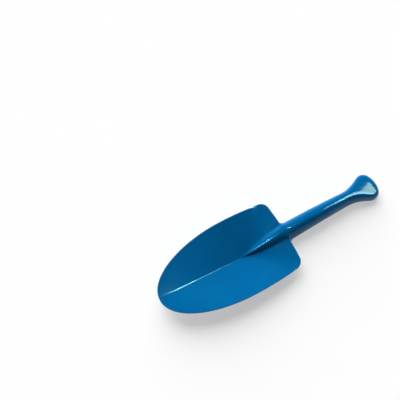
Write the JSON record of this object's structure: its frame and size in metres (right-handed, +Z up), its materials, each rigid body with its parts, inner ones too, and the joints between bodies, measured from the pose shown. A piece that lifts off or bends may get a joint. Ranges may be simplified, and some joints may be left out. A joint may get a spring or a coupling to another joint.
{
  "type": "sand shovel",
  "caption": "Blue plastic sand shovel: a pointed, V-shaped blade with a sloping back wall, a ridge that runs into a hollow handle, and a flared grip end.",
  "frame": {"origin": "centre of the bounding box's bottom face, on the table under the middle of the shovel", "axes": "+X from the blade's tip towards the grip end, +Y to the left when looking along +X, +Z up with the blade's inside upwards"},
  "size_m": [0.248, 0.0824, 0.0175],
  "materials": {
    "blue_plastic": "glossy"
  },
  "bodies": {
    "root": {"blade_pan": "blue_plastic", "handle_root": "blue_plastic", "grip_shell": "blue_plastic", "grip_end": "blue_plastic", "grip_ribs": "blue_plastic"}
  },
  "joints": []
}
